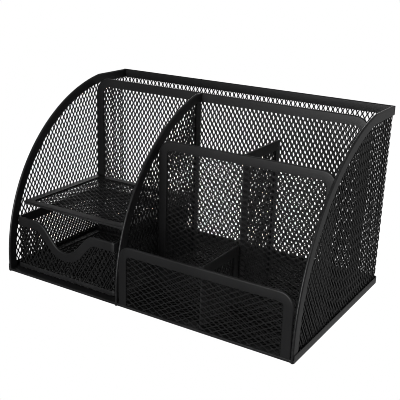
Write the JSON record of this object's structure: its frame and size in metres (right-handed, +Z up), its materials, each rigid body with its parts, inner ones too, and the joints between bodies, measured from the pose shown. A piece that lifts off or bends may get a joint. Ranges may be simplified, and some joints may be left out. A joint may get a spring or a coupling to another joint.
{
  "type": "desk organizer",
  "caption": "Black steel mesh desk organizer with curved sides, a rear slot, tall and short compartments, and a shelf over a sliding drawer.",
  "frame": {"origin": "middle of the footprint, on the surface that the organizer stands on", "axes": "+Z up, the open front faces -Y, +X to the right as seen from the front"},
  "size_m": [0.22, 0.134, 0.1255],
  "materials": {
    "coated_mesh": "satin black powder coat on expanded steel mesh",
    "coated_rim": "satin black powder coat on folded steel strip"
  },
  "bodies": {
    "frame": {"base_mesh": "coated_mesh", "base_rim": "coated_rim", "wall_mesh": "coated_mesh", "left_arc_rim": "coated_rim", "right_arc_rim": "coated_rim", "rear_top_rim": "coated_rim", "inner_panel_mesh": "coated_mesh", "inner_panel_rim": "coated_rim", "middle_wall_mesh": "coated_mesh", "middle_arc_rim": "coated_rim", "middle_post_rim": "coated_rim", "shelf_mesh": "coated_mesh", "shelf_rim": "coated_rim", "tall_panel_mesh": "coated_mesh", "tall_panel_rim": "coated_rim", "short_panel_mesh": "coated_mesh", "short_panel_rim": "coated_rim", "tall_divider_mesh": "coated_mesh", "tall_divider_rim": "coated_rim", "short_divider_mesh": "coated_mesh", "short_divider_rim": "coated_rim", "weld_beads": "coated_rim"},
    "drawer": {"drawer_floor_mesh": "coated_mesh", "drawer_bottom_rim": "coated_rim", "drawer_wall_mesh": "coated_mesh", "drawer_top_rim": "coated_rim"}
  },
  "joints": [
    {"name": "drawer_slide", "type": "slide", "parent": "frame", "child": "drawer", "axis": [0, -1, 0], "range_m": [0, 0.075]}
  ]
}
